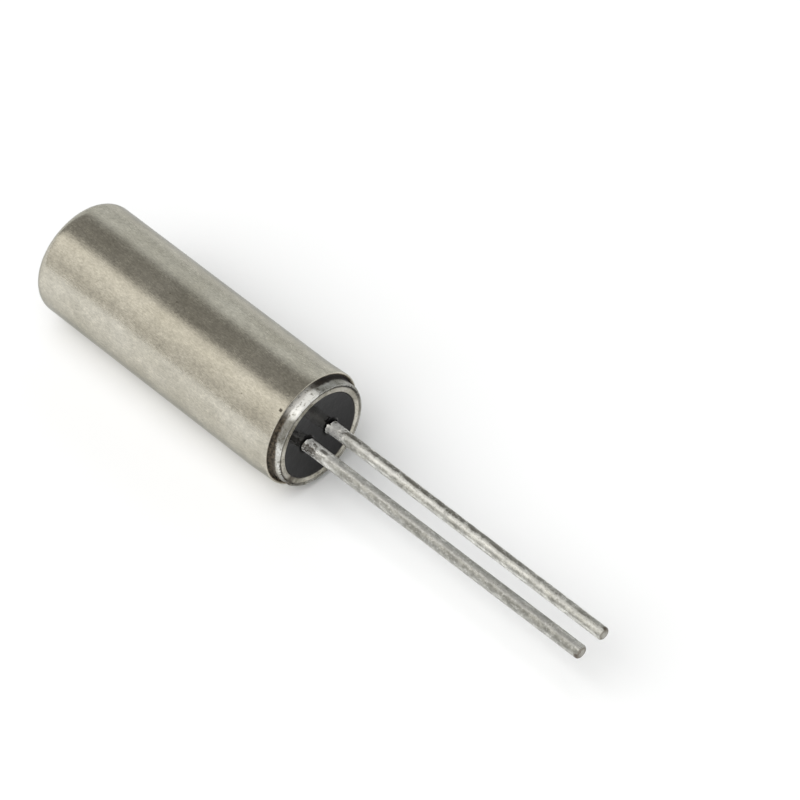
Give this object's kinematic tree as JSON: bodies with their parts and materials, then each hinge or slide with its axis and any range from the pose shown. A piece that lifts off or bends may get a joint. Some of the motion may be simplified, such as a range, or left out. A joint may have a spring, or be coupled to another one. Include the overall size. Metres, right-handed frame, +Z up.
{
  "type": "crystal oscillator",
  "caption": "Tuning-fork quartz crystal in a small cylindrical metal can, with a black glass seal and a pair of straight wire leads.",
  "frame": {"origin": "on the floor, under the middle of the overall length, below the can's axis", "axes": "+X along the axis from the can to the lead tips, +Y from lead_a to lead_b, +Z up; the can lies on its side on z = 0"},
  "size_m": [0.0176, 0.0032, 0.0031],
  "materials": {
    "nickel": "nickel plate, satin, with fine grain along the axis",
    "tin_plate": "tin plate, semi-bright, slightly uneven",
    "black_glass": "opaque black sealing glass, glossy",
    "tinned_wire": "hot-tinned wire, blotchy semi-bright",
    "quartz": "lapped quartz",
    "solder": "dull solder"
  },
  "bodies": {
    "root": {"can": "nickel", "stem_ring": "tin_plate", "glass_seal": "black_glass", "lead_a": "tinned_wire", "lead_b": "tinned_wire", "tuning_fork": "quartz", "solder_a": "solder", "solder_b": "solder"}
  },
  "joints": []
}
